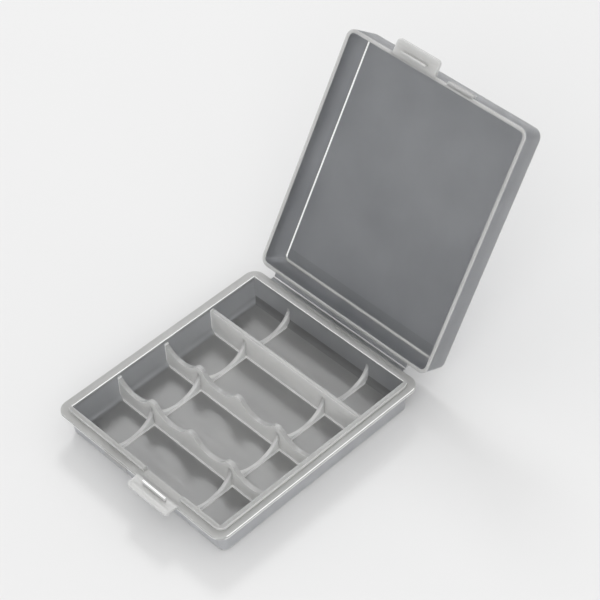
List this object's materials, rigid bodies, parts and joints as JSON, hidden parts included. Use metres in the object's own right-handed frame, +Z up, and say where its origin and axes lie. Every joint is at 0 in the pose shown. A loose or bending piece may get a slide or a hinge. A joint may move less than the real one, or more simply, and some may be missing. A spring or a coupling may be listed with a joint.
{
  "type": "battery box",
  "caption": "Frosted translucent battery box: a shallow tray with divided cell bays, cradle ribs and scalloped dividers, a living hinge and a snap lid standing open.",
  "frame": {"origin": "middle of the tray's underside", "axes": "+X along the hinge and the AA cells, +Y from the latch tabs to the hinge, +Z up"},
  "size_m": [0.0598, 0.1154, 0.0714],
  "materials": {
    "frosted_polypropylene": "frosted, translucent"
  },
  "bodies": {
    "tray": {"tray_shell": "frosted_polypropylene", "divider_front": "frosted_polypropylene", "divider_middle": "frosted_polypropylene", "divider_back": "frosted_polypropylene", "cradle_rib_1_left": "frosted_polypropylene", "cradle_rib_1_right": "frosted_polypropylene", "cradle_rib_2_left": "frosted_polypropylene", "cradle_rib_2_right": "frosted_polypropylene", "cradle_rib_3_left": "frosted_polypropylene", "cradle_rib_3_right": "frosted_polypropylene", "cradle_rib_4_left": "frosted_polypropylene", "cradle_rib_4_right": "frosted_polypropylene", "tray_hinge_leaf": "frosted_polypropylene", "tray_latch_tab": "frosted_polypropylene", "tray_latch_hook": "frosted_polypropylene", "tray_catch_pad": "frosted_polypropylene"},
    "lid": {"lid_shell": "frosted_polypropylene", "lid_hinge_leaf": "frosted_polypropylene", "lid_latch_tab": "frosted_polypropylene", "lid_latch_hook": "frosted_polypropylene", "lid_catch_pad": "frosted_polypropylene"}
  },
  "joints": [
    {"name": "lid_hinge", "type": "hinge", "parent": "tray", "child": "lid", "pos_m": [0, 0.0353, 0.009], "axis": [-1, 0, 0], "range_deg": [-121, 59]}
  ]
}
